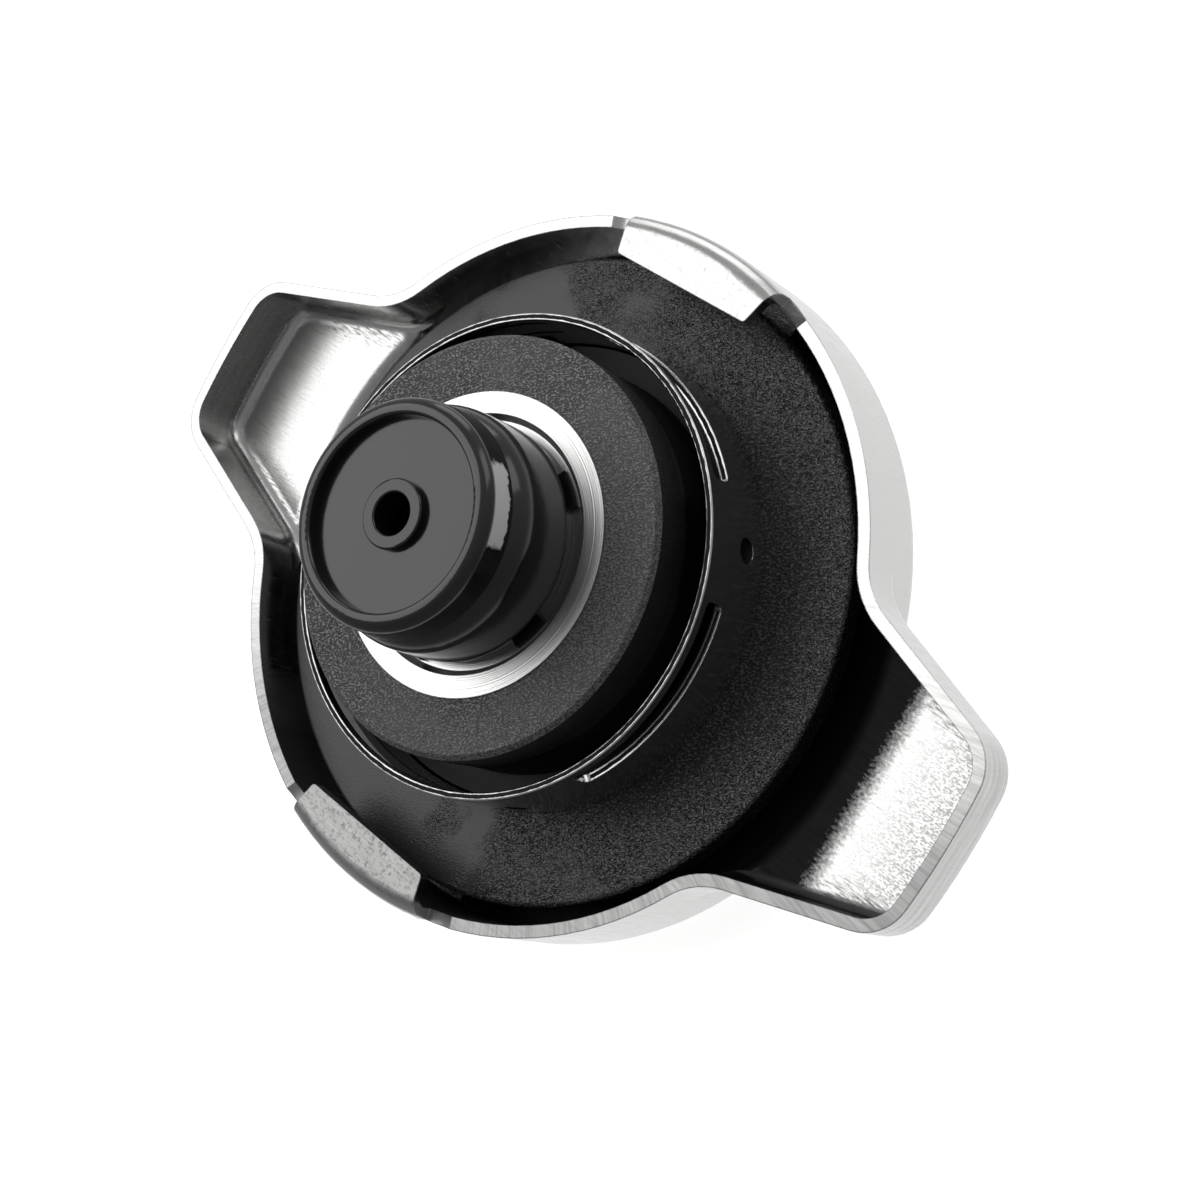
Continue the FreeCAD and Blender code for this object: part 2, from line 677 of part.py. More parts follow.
os.makedirs("parts", exist_ok=True)
for piece in PIECES:
    shape = piece()
    box = shape.BoundBox
    print(
        f"{piece.__name__:16} solids {len(shape.Solids)} valid {shape.isValid()} volume {shape.Volume:9.2f}"
        f" z {box.ZMin:7.2f} to {box.ZMax:6.2f} x {box.XMin:7.2f} to {box.XMax:6.2f}"
    )
    shape.exportStep(f"parts/{piece.__name__}.step")
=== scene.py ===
import json
import math

import bpy
from mathutils import Matrix, Vector


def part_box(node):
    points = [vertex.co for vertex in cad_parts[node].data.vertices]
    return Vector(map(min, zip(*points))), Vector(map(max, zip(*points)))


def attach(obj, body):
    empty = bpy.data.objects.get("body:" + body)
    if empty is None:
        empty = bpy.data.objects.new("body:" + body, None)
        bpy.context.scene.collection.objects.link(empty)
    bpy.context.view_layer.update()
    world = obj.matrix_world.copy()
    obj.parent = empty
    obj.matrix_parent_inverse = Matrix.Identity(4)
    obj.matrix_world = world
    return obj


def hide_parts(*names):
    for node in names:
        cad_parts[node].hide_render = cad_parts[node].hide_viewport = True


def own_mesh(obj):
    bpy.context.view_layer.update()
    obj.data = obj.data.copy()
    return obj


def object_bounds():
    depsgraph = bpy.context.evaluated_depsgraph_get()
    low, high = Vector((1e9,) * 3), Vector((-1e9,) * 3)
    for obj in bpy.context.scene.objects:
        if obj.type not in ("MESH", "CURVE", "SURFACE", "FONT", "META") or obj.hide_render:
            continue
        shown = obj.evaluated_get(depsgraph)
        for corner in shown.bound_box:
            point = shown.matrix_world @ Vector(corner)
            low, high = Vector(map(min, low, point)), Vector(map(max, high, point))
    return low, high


# A winged radiator pressure cap, lying on its dome with the valve stack towards the camera.
# Metres in the scene; the sizes below are in millimetres and turned by MM.
MM = 0.001

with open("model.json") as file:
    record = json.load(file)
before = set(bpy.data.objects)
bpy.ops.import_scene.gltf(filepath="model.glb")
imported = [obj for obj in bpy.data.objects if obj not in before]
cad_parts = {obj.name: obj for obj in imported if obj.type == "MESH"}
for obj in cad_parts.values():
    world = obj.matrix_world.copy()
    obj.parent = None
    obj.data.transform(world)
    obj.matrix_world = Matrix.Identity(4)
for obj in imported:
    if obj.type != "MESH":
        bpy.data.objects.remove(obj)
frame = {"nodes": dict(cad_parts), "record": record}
cad_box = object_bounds()

# Camera, where the photograph was taken from
EYE = Vector((77.27, -15.83, -110.85)) * MM
LOOKS = Vector((-0.5465, 0.1156, 0.8294))
HEAD = Vector((-0.4760, -0.8580, -0.1940))
LENS = 62.70
SENSOR = 36.0

# Springs, with the sizes of the construction's
MAIN_WIRE = 1.6
MAIN_MEAN = 11.75
MAIN_TURNS = 2.75
VACUUM_WIRE = 0.45
VACUUM_MEAN = 2.925
VACUUM_TURNS = 4.5

# Centre of an end turn above its ground face, as a share of the wire
END_RISE = 0.3

# Bell: the middle of its sheet as a radius, its dimples' level, and its windows' middle and half height
BELL_CUT = 15.3
DIMPLE_LEVEL = -2.4
WINDOW_LEVEL = -5.145
WINDOW_HALF = 0.925

# Side of the bell away from the windows whose edges get painted shade
WINDOW_WAY = (1.0, -0.35, 0.0)

# Where a wing's side wall stands, as a weight of X and Y and the value there
WALL_LINE = (0.321, 1.0, 0.0)
WALL_AT = 15.99

# X at which a wing's floor meets the dome's step
STEP_AT = 24.4

# Level of the hem, which the tabs' faces lie below and the floors above
HEM_LEVEL = -2.3

# Side of the shell that gets painted shade, and the X that the painted shade at one wing's root starts from
SHADED_SIDE_WAY = (0.35, 0.94, 0.0)
ROOT_SHADE_FROM = 4.0

# Painted highlight on the side of the nose: the way it faces, and the levels and the radius that it lies
# between
NOSE_HIGHLIGHT_WAY = (0.829, -0.559, 0.0)
NOSE_HIGHLIGHT_FACE = -16.95
NOSE_HIGHLIGHT_BACK = -15.65
NOSE_HIGHLIGHT_INSIDE = 6.8

# Rays that each rounded edge is worked out with
EDGE_RAYS = 6

# Turn of the rubber's grain, in radians
GRAIN_TURN = -0.63

# Side of the room that is lit, and side of the backdrop behind the cap that is bright
LIT_SIDE = (-0.64, -0.77, 0.0)
BRIGHT_WAY = (0.35, -0.94, 0.0)


def linear(code):
    """The linear colour of an sRGB hex value."""
    parts = [int(code[i:i + 2], 16) / 255 for i in (1, 3, 5)]
    return tuple(c / 12.92 if c <= 0.04045 else ((c + 0.055) / 1.055) ** 2.4 for c in parts) + (1.0,)


def add(tree, kind, inputs=None, **settings):
    """Adds a node with its settings, and with inputs that are values or sockets to link."""
    node = tree.nodes.new("ShaderNode" + kind)
    for name, value in settings.items():
        setattr(node, name, value)
    for name, value in (inputs or {}).items():
        if isinstance(value, bpy.types.NodeSocket):
            tree.links.new(value, node.inputs[name])
        else:
            node.inputs[name].default_value = value
    return node


def new_material(name):
    """An empty material and its node tree."""
    made = bpy.data.materials.new(name)
    made.use_nodes = True
    made.node_tree.nodes.clear()
    return made, made.node_tree


def millimetres(tree):
    """Object coordinates in millimetres."""
    place = add(tree, "TexCoord").outputs["Object"]
    return add(tree, "VectorMath", {0: place, "Scale": 1 / MM}, operation="SCALE").outputs[0]


def painted_root_shade(tree, place, along):
    """Mask of painted shade on one wing's floor, dark at the dome's step and fraying out within 3 mm of it.
    """
    by_step = add(tree, "MapRange", {
        "Value": along.outputs["X"], "From Min": STEP_AT + 3.0, "From Max": STEP_AT, "To Max": 0.75,
    }).outputs[0]
    speckle = add(tree, "Mapping", {"Vector": place, "Scale": (3.2, 5.0, 1.0)}).outputs[0]
    frays = add(tree, "TexNoise", {
        "Vector": speckle, "Scale": 1.0, "Detail": 5.0, "Roughness": 0.7,
    }).outputs[0]
    frayed = add(tree, "Math", {0: frays, 1: 0.5, 2: by_step}, operation="MULTIPLY_ADD").outputs[0]
    shade_at_root = add(tree, "MapRange", {"Value": frayed, "From Min": 0.4, "From Max": 0.74}).outputs[0]
    on_side = add(tree, "Math", {0: along.outputs["X"], 1: ROOT_SHADE_FROM}, operation="GREATER_THAN").outputs[0]
    return add(tree, "Math", {0: shade_at_root, 1: on_side}, operation="MULTIPLY").outputs[0]


def floor_marks_and_shade(tree, place, along, folded, out):
    """Mask of the shell's floors: streaks by the wings' walls, painted shade at one wing's root and near the
    other wing's tip, and grain at the tips.
    """
    # the streaks run along the splayed walls, from 2.6 mm off and strongest from 1 mm off
    to_wall = add(tree, "VectorMath", {0: folded, 1: WALL_LINE}, operation="DOT_PRODUCT").outputs["Value"]
    by_wall = add(tree, "MapRange", {
        "Value": to_wall, "From Min": WALL_AT - 2.6, "From Max": WALL_AT - 1.0, "To Max": 0.17,
    }).outputs[0]
    drawn_out = add(tree, "Mapping", {
        "Vector": place, "Scale": (1.3, 7.0, 1.0), "Rotation": (0, 0, 0.3),
    }).outputs[0]
    streaks = add(tree, "TexNoise", {
        "Vector": drawn_out, "Scale": 1.0, "Detail": 4.0, "Roughness": 0.65,
    }).outputs[0]
    drawn = add(tree, "Math", {0: streaks, 1: by_wall}, operation="ADD").outputs[0]
    streaked = add(tree, "MapRange", {
        "Value": drawn, "From Min": 0.6, "From Max": 0.85, "To Max": 0.7,
    }).outputs[0]

    # the die left a woven grain about 0.2 mm apart, strongest at the tips
    weave = add(tree, "Mapping", {
        "Vector": place, "Scale": (4.5, 9.0, 1.0), "Rotation": (0, 0, 0.8),
    }).outputs[0]
    grain = add(tree, "TexNoise", {"Vector": weave, "Scale": 1.0, "Detail": 2.0}).outputs[0]
    by_tip = add(tree, "MapRange", {
        "Value": out, "From Min": 27.0, "From Max": 31.0, "To Min": 0.08, "To Max": 0.38,
    }).outputs[0]
    woven = add(tree, "MapRange", {
        "Value": grain, "From Min": 0.45, "From Max": 0.6, "To Max": by_tip,
    }).outputs[0]
    worked = add(tree, "Math", {0: streaked, 1: woven}, operation="MAXIMUM").outputs[0]

    # painted shade on the floor near one tip
    tip_shade = add(tree, "MapRange", {
        "Value": along.outputs["X"], "From Min": -27.0, "From Max": -31.5, "To Max": 0.4,
    }).outputs[0]
    # painted shade at one wing's root and near the other wing's tip
    ends = add(tree, "Math", {0: painted_root_shade(tree, place, along), 1: tip_shade}, operation="MAXIMUM").outputs[0]
    return add(tree, "Math", {0: worked, 1: ends}, operation="MAXIMUM").outputs[0]


def hem_marks_and_shade(tree, place, along, far):
    """Mask of the tabs' faces, scuffed by the neck's cams, and of the sheared hem with its dull spots, both
    with painted shade that grows towards one side.
    """
    scuff = add(tree, "TexNoise", {
        "Vector": place, "Scale": 2.6, "Detail": 5.0, "Roughness": 0.7,
    }).outputs[0]
    scuffed = add(tree, "MapRange", {
        "Value": scuff, "From Min": 0.5, "From Max": 0.7, "To Min": 0.02, "To Max": 0.3,
    }).outputs[0]
    flat_place = add(tree, "Mapping", {"Vector": place, "Scale": (1.0, 1.0, 0.0)}).outputs[0]
    outward = add(tree, "VectorMath", {0: flat_place}, operation="NORMALIZE").outputs[0]
    spots = add(tree, "TexNoise", {
        "Vector": outward, "Scale": 120.0, "Detail": 4.0, "Roughness": 0.7,
    }).outputs[0]
    sheared = add(tree, "MapRange", {
        "Value": spots, "From Min": 0.46, "From Max": 0.74, "To Min": 0.0, "To Max": 0.2,
    }).outputs[0]
    below = add(tree, "Math", {0: along.outputs["Z"], 1: HEM_LEVEL - 0.5}, operation="LESS_THAN").outputs[0]
    spotted = add(tree, "Mix", {"Factor": below, "A": sheared, "B": scuffed}).outputs["Result"]
    # painted shade, darker towards one side of the shell
    side_shade = add(tree, "MapRange", {
        "Value": far, "From Min": 2.0, "From Max": 13.0, "To Max": 0.42,
    }).outputs[0]
    return add(tree, "Math", {0: spotted, 1: side_shade}, operation="ADD").outputs[0]


def wall_marks_and_shade(tree, place, along, normal, out, far):
    """Mask of the shell's walls: streaks at the tips, and painted shade on one root's round edge and on the
    skirt's inner wall towards one side.
    """
    # the die ironed the tips, which are streaked round about
    round_about = add(tree, "Mapping", {"Vector": place, "Scale": (0.2, 0.2, 2.5)}).outputs[0]
    ironed = add(tree, "TexNoise", {"Vector": round_about, "Scale": 1.0, "Detail": 3.0}).outputs[0]
    by_end = add(tree, "MapRange", {
        "Value": out, "From Min": 31.5, "From Max": 33.3, "To Min": 0.0, "To Max": 0.22,
    }).outputs[0]
    wall = add(tree, "MapRange", {
        "Value": ironed, "From Min": 0.3, "From Max": 0.65, "To Max": by_end,
    }).outputs[0]

    # painted shade on the round edge within 4 mm of the dome's step, where the painted shade of the root
    # rolls over it
    facing = add(tree, "SeparateXYZ", {"Vector": normal}).outputs["X"]
    turning = add(tree, "MapRange", {"Value": facing, "From Min": -0.1, "From Max": -0.3}).outputs[0]
    right = add(tree, "Math", {
        0: along.outputs["X"], 1: STEP_AT - 4.0,
    }, operation="GREATER_THAN").outputs[0]
    root_edge_shade = add(tree, "Math", {0: turning, 1: right}, operation="MULTIPLY").outputs[0]

    # painted shade on the skirt's inner wall, darker towards one side
    turned = add(tree, "VectorMath", {0: normal, 1: SHADED_SIDE_WAY}, operation="DOT_PRODUCT").outputs["Value"]
    inside = add(tree, "Math", {0: turned, 1: -0.1}, operation="LESS_THAN").outputs[0]
    inner_shade_by_side = add(tree, "MapRange", {
        "Value": far, "From Min": 9.0, "From Max": 14.0, "To Max": 0.85,
    }).outputs[0]
    inner_wall_shade = add(tree, "Math", {0: inside, 1: inner_shade_by_side}, operation="MULTIPLY").outputs[0]
    darkest = add(tree, "Math", {0: root_edge_shade, 1: inner_wall_shade}, operation="MAXIMUM").outputs[0]
    return add(tree, "Math", {0: wall, 1: darkest}, operation="MAXIMUM").outputs[0]


def steel_marks_and_shade(tree, place):
    """Mask of what pressing leaves on the bright sheet, streaks, scuffs and grey sheared edges, and of the
    painted shade on it.
    """
    along = add(tree, "SeparateXYZ", {"Vector": place})
    folded = add(tree, "VectorMath", {0: place}, operation="ABSOLUTE").outputs[0]
    out = add(tree, "SeparateXYZ", {"Vector": folded}).outputs["X"]
    far = add(tree, "VectorMath", {0: place, 1: SHADED_SIDE_WAY}, operation="DOT_PRODUCT").outputs["Value"]
    normal = add(tree, "NewGeometry").outputs["Normal"]
    facing = add(tree, "SeparateXYZ", {"Vector": normal}).outputs["Z"]
    down = add(tree, "MapRange", {"Value": facing, "From Min": -0.8, "From Max": -0.95}).outputs[0]

    floor = floor_marks_and_shade(tree, place, along, folded, out)
    low = hem_marks_and_shade(tree, place, along, far)
    above = add(tree, "Math", {
        0: along.outputs["Z"], 1: HEM_LEVEL + 0.6,
    }, operation="GREATER_THAN").outputs[0]
    flat = add(tree, "Mix", {"Factor": above, "A": low, "B": floor}).outputs["Result"]
    upright = wall_marks_and_shade(tree, place, along, normal, out, far)
    return add(tree, "Mix", {"Factor": down, "A": upright, "B": flat}).outputs["Result"]


def tinned_steel():
    """Tin-plated sheet steel, pressed: bright, with rolling lines, swells, the marks of the press and
    painted shade.
    """
    made, tree = new_material("tinned_sheet_steel")
    place = millimetres(tree)
    # rolling lines about 0.15 mm apart, drawn out along the wings
    drawn_out = add(tree, "Mapping", {"Vector": place, "Scale": (0.5, 6.0, 0.5)}).outputs[0]
    lines = add(tree, "TexNoise", {
        "Vector": drawn_out, "Scale": 1.0, "Detail": 4.0, "Roughness": 0.6,
    }).outputs[0]
    # the press leaves swells some 3 mm across
    swells = add(tree, "TexNoise", {"Vector": place, "Scale": 0.3, "Detail": 1.0}).outputs[0]
    relief = add(tree, "Math", {0: swells, 1: 9.0, 2: lines}, operation="MULTIPLY_ADD").outputs[0]
    grain = add(tree, "TexNoise", {"Vector": place, "Scale": 5.0, "Detail": 2.0}).outputs[0]
    height = add(tree, "Math", {0: grain, 1: 0.5, 2: relief}, operation="MULTIPLY_ADD").outputs[0]
    edges = add(tree, "Bevel", {"Radius": 0.12 * MM}, samples=EDGE_RAYS).outputs[0]
    bump = add(tree, "Bump", {
        "Height": height, "Strength": 0.5, "Distance": 0.007 * MM, "Normal": edges,
    }).outputs[0]
    # the mask holds the press's marks and painted shade, both darkening the sheet towards #262626
    marks = steel_marks_and_shade(tree, place)
    colour = add(tree, "Mix", {
        "Factor": marks, "A": linear("#cbcbca"), "B": linear("#262626"),
    }, data_type="RGBA").outputs["Result"]
    matt = add(tree, "MapRange", {
        "Value": lines, "From Min": 0.3, "From Max": 0.7, "To Min": 0.14, "To Max": 0.28,
    }).outputs[0]
    rough = add(tree, "Math", {0: marks, 1: 0.4, 2: matt}, operation="MULTIPLY_ADD").outputs[0]
    shader = add(tree, "BsdfPrincipled", {
        "Base Color": colour, "Metallic": 1.0, "Roughness": rough, "Normal": bump,
    })
    add(tree, "OutputMaterial", {"Surface": shader.outputs[0]})
    return made


def phosphated_steel():
    """Steel, phosphated and oiled: near black, satin, with a fine crystal grain."""
    made, tree = new_material("phosphated_steel")
    place = millimetres(tree)
    crystals = add(tree, "TexNoise", {"Vector": place, "Scale": 6.0, "Detail": 2.0}).outputs[0]
    edges = add(tree, "Bevel", {"Radius": 0.08 * MM}, samples=EDGE_RAYS).outputs[0]
    bump = add(tree, "Bump", {
        "Height": crystals, "Strength": 0.3, "Distance": 0.01 * MM, "Normal": edges,
    }).outputs[0]
    shader = add(tree, "BsdfPrincipled", {
        "Base Color": linear("#313132"), "Metallic": 1.0, "Roughness": 0.5, "Normal": bump,
    })
    add(tree, "OutputMaterial", {"Surface": shader.outputs[0]})
    return made


def bell_painted_shade(tree, place):
    """Mask of the painted shade on the bell, from 0 to 1.

    It is a painted dark reflection in the middle of its rim, between its two bright edges, painted shade in
    the hollows of the punched dimples, and painted shade on the windows' edges on one side."""
    # painted dark reflection: a ragged band in the middle of the rim
    flat = add(tree, "Mapping", {"Vector": place, "Scale": (1.0, 1.0, 0.0)}).outputs[0]
    radius = add(tree, "VectorMath", {0: flat}, operation="LENGTH").outputs["Value"]
    ragged = add(tree, "TexNoise", {"Vector": place, "Scale": 1.5, "Detail": 3.0}).outputs[0]
    middle = add(tree, "Math", {
        0: ragged, 1: 0.12, 2: BELL_CUT - 0.06,
    }, operation="MULTIPLY_ADD").outputs[0]
    off = add(tree, "Math", {0: radius, 1: middle}, operation="SUBTRACT").outputs[0]
    away = add(tree, "Math", {0: off}, operation="ABSOLUTE").outputs[0]
    painted_patch = add(tree, "MapRange", {
        "Value": away, "From Min": 0.11, "From Max": 0.15, "To Min": 1.0, "To Max": 0.0,
    }).outputs[0]
    facing = add(tree, "SeparateXYZ", {"Vector": add(tree, "NewGeometry").outputs["Normal"]}).outputs["Z"]
    down = add(tree, "Math", {0: facing, 1: -0.95}, operation="LESS_THAN").outputs[0]
    rim = add(tree, "Math", {0: painted_patch, 1: down}, operation="MULTIPLY").outputs[0]

    level = add(tree, "SeparateXYZ", {"Vector": place}).outputs["Z"]
    # painted shade in the hollows of the punched dimples
    by_dimple = add(tree, "Math", {0: level, 1: DIMPLE_LEVEL, 2: 1.0}, operation="COMPARE").outputs[0]
    in_sheet = add(tree, "Math", {0: radius, 1: BELL_CUT, 2: 0.22}, operation="COMPARE").outputs[0]
    hollow = add(tree, "Math", {0: by_dimple, 1: in_sheet}, operation="MULTIPLY").outputs[0]

    # painted shade on the windows' edges on one side, which hides their glints
    over = add(tree, "Math", {0: level, 1: WINDOW_LEVEL}, operation="SUBTRACT").outputs[0]
    apart = add(tree, "Math", {0: over}, operation="ABSOLUTE").outputs[0]
    lip = add(tree, "Math", {0: apart, 1: WINDOW_HALF, 2: 0.16}, operation="COMPARE").outputs[0]
    across = add(tree, "VectorMath", {
        0: place, 1: WINDOW_WAY,
    }, operation="DOT_PRODUCT").outputs["Value"]
    shaded_side = add(tree, "Math", {0: across, 1: -1.0}, operation="LESS_THAN").outputs[0]
    edge = add(tree, "Math", {0: lip, 1: shaded_side}, operation="MULTIPLY").outputs[0]

    punched = add(tree, "Math", {0: hollow, 1: edge}, operation="MAXIMUM").outputs[0]
    return add(tree, "Math", {0: rim, 1: punched}, operation="MAXIMUM").outputs[0]


def drawn_stainless():
    """Stainless sheet, deep drawn: smooth, with hairlines round the axis and painted shade on its rim,
    dimples and windows' edges.
    """
    made, tree = new_material("deep_drawn_stainless")
    place = millimetres(tree)
    rings = add(tree, "Mapping", {"Vector": place, "Scale": (0.05, 0.05, 9.0)}).outputs[0]
    lines = add(tree, "TexNoise", {"Vector": rings, "Scale": 1.0, "Detail": 3.0}).outputs[0]
    edges = add(tree, "Bevel", {"Radius": 0.08 * MM}, samples=EDGE_RAYS).outputs[0]
    bump = add(tree, "Bump", {
        "Height": lines, "Strength": 0.2, "Distance": 0.004 * MM, "Normal": edges,
    }).outputs[0]
    # painted shade and a painted dark reflection, darkening the bell towards #2a2a2a
    painted_patch = bell_painted_shade(tree, place)
    colour = add(tree, "Mix", {
        "Factor": painted_patch, "A": linear("#cfcfce"), "B": linear("#2a2a2a"),
    }, data_type="RGBA").outputs["Result"]
    matt = add(tree, "MapRange", {"Value": painted_patch, "To Min": 0.16, "To Max": 0.6}).outputs[0]
    shader = add(tree, "BsdfPrincipled", {
        "Base Color": colour, "Metallic": 1.0, "Roughness": matt, "Normal": bump,
    })
    add(tree, "OutputMaterial", {"Surface": shader.outputs[0]})
    return made


def polished_stainless():
    """Stainless washer, turned and polished: bright, with circular hairlines that spread its reflections."""
    made, tree = new_material("polished_stainless")
    place = millimetres(tree)
    flat = add(tree, "Mapping", {"Vector": place, "Scale": (1.0, 1.0, 0.0)}).outputs[0]
    radius = add(tree, "VectorMath", {0: flat}, operation="LENGTH").outputs["Value"]
    # turning marks 0.1 mm apart
    marks = add(tree, "TexNoise", {
        "W": radius, "Scale": 10.0, "Detail": 2.0,
    }, noise_dimensions="1D").outputs[0]
    edges = add(tree, "Bevel", {"Radius": 0.08 * MM}, samples=EDGE_RAYS).outputs[0]
    bump = add(tree, "Bump", {
        "Height": marks, "Strength": 0.7, "Distance": 0.02 * MM, "Normal": edges,
    }).outputs[0]
    shader = add(tree, "BsdfPrincipled", {
        "Base Color": linear("#dcdcdb"), "Metallic": 1.0, "Roughness": 0.32, "Normal": bump,
    })
    add(tree, "OutputMaterial", {"Surface": shader.outputs[0]})
    return made


def spring_wire():
    """Spring steel, drawn and oiled: darker than the sheet, with a gloss that varies from place to place."""
    made, tree = new_material("spring_steel_wire")
    place = millimetres(tree)
    marks = add(tree, "TexNoise", {"Vector": place, "Scale": 3.0, "Detail": 3.0}).outputs[0]
    matt = add(tree, "MapRange", {
        "Value": marks, "From Min": 0.3, "From Max": 0.7, "To Min": 0.22, "To Max": 0.38,
    }).outputs[0]
    shader = add(tree, "BsdfPrincipled", {
        "Base Color": linear("#a9a8a4"), "Metallic": 1.0, "Roughness": matt,
    })
    add(tree, "OutputMaterial", {"Surface": shader.outputs[0]})
    return made


def grained_rubber(name, creases, crowns, smooth, grain, depth, rough, least, lean):
    """Black rubber from an etched mould: fine ripples that wander and branch, about a grain apart, with
    painted shade in their creases and on the sides.

    They are as deep as the depth in some patches and on the side that the lean points to, and elsewhere down
    to the least share of it, where the tone lies between the two colours, at the smooth share."""
    made, tree = new_material(name)
    place = millimetres(tree)
    # the ripples run longer one way than across it
    combed = add(tree, "Mapping", {
        "Vector": place, "Rotation": (0.0, 0.0, GRAIN_TURN), "Scale": (1.6, 1.0, 1.0),
    }, vector_type="TEXTURE").outputs[0]
    worms = add(tree, "TexNoise", {
        "Vector": combed, "Scale": 1.7 / grain, "Detail": 1.0, "Roughness": 0.3, "Distortion": 0.5,
    }).outputs[0]
    crown = add(tree, "MapRange", {
        "Value": worms, "From Min": 0.42, "From Max": 0.58,
    }, interpolation_type="SMOOTHSTEP").outputs[0]
    # the etching is deeper in some patches than in others, and the creases get painted shade, darker than
    # the crowns
    patches = add(tree, "TexNoise", {"Vector": place, "Scale": 0.16, "Detail": 3.0}).outputs[0]
    leant = add(tree, "VectorMath", {0: place, 1: lean}, operation="DOT_PRODUCT").outputs["Value"]
    etched = add(tree, "Math", {0: patches, 1: leant}, operation="ADD").outputs[0]
    deep = add(tree, "MapRange", {
        "Value": etched, "From Min": 0.4, "From Max": 0.64, "To Min": least,
    }).outputs[0]
    tone = add(tree, "Mix", {"Factor": deep, "A": smooth, "B": crown}).outputs["Result"]
    # painted shade: the sides are as dark as the creases
    facing = add(tree, "SeparateXYZ", {"Vector": add(tree, "NewGeometry").outputs["Normal"]}).outputs["Z"]
    face = add(tree, "MapRange", {"Value": facing, "From Min": -0.3, "From Max": -0.8}).outputs[0]
    toned = add(tree, "Math", {0: tone, 1: face}, operation="MULTIPLY").outputs[0]
    colour = add(tree, "Mix", {
        "Factor": toned, "A": linear(creases), "B": linear(crowns),
    }, data_type="RGBA").outputs["Result"]
    edges = add(tree, "Bevel", {"Radius": 0.1 * MM}, samples=EDGE_RAYS).outputs[0]
    bump = add(tree, "Bump", {
        "Height": crown, "Strength": deep, "Distance": depth * MM, "Normal": edges,
    }).outputs[0]
    shader = add(tree, "BsdfPrincipled", {"Base Color": colour, "Roughness": rough, "Normal": bump})
    add(tree, "OutputMaterial", {"Surface": shader.outputs[0]})
    return made


def nose_painted_highlight(tree, place):
    """Mask of a painted highlight on the side of the nose: a pale patch with a torn edge."""
    ragged = add(tree, "TexNoise", {"Vector": place, "Scale": 1.3, "Detail": 3.0}).outputs[0]
    flat = add(tree, "Mapping", {"Vector": place, "Scale": (1.0, 1.0, 0.0)}).outputs[0]
    radius = add(tree, "VectorMath", {0: flat}, operation="LENGTH").outputs["Value"]
    outside = add(tree, "Math", {0: radius, 1: NOSE_HIGHLIGHT_INSIDE}, operation="GREATER_THAN").outputs[0]
    way = add(tree, "VectorMath", {0: flat}, operation="NORMALIZE").outputs[0]
    ahead = add(tree, "VectorMath", {0: way, 1: NOSE_HIGHLIGHT_WAY}, operation="DOT_PRODUCT").outputs["Value"]
    side = add(tree, "Math", {0: ragged, 1: 0.07, 2: ahead}, operation="MULTIPLY_ADD").outputs[0]
    within = add(tree, "MapRange", {"Value": side, "From Min": 0.967, "From Max": 0.982}).outputs[0]
    level = add(tree, "SeparateXYZ", {"Vector": place}).outputs["Z"]
    front = add(tree, "MapRange", {
        "Value": level, "From Min": NOSE_HIGHLIGHT_FACE, "From Max": NOSE_HIGHLIGHT_FACE + 0.1,
    }).outputs[0]
    painted_patch = add(tree, "Math", {0: ragged, 1: 0.9, 2: level}, operation="MULTIPLY_ADD").outputs[0]
    back = add(tree, "MapRange", {
        "Value": painted_patch, "From Min": NOSE_HIGHLIGHT_BACK + 0.5, "From Max": NOSE_HIGHLIGHT_BACK + 0.4,
    }).outputs[0]
    band = add(tree, "Math", {0: front, 1: back}, operation="MULTIPLY").outputs[0]
    patch = add(tree, "Math", {0: band, 1: within}, operation="MULTIPLY").outputs[0]
    return add(tree, "Math", {0: patch, 1: outside}, operation="MULTIPLY").outputs[0]


def glossy_nylon():
    """Glass-filled nylon, moulded black: glossy, with faint flow waviness and a pale painted highlight."""
    made, tree = new_material("moulded_black_nylon")
    place = millimetres(tree)
    flow = add(tree, "TexNoise", {"Vector": place, "Scale": 0.8, "Detail": 2.0}).outputs[0]
    bump = add(tree, "Bump", {"Height": flow, "Strength": 0.4, "Distance": 0.03 * MM}).outputs[0]
    # the pale patch is a painted highlight on the side of the nose
    scuff = nose_painted_highlight(tree, place)
    colour = add(tree, "Mix", {
        "Factor": scuff, "A": linear("#161617"), "B": linear("#cacacb"),
    }, data_type="RGBA").outputs["Result"]
    matt = add(tree, "MapRange", {"Value": scuff, "To Min": 0.16, "To Max": 0.5}).outputs[0]
    shader = add(tree, "BsdfPrincipled", {
        "Base Color": colour, "Roughness": matt, "IOR": 1.6, "Normal": bump,
    })
    add(tree, "OutputMaterial", {"Surface": shader.outputs[0]})
    return made


def dress(material, *names):
    """Gives CAD nodes their finish."""
    for name in names:
        node = frame["nodes"][name]
        node.material_slots[0].material = material
        for face in node.data.polygons:
            face.use_smooth = True


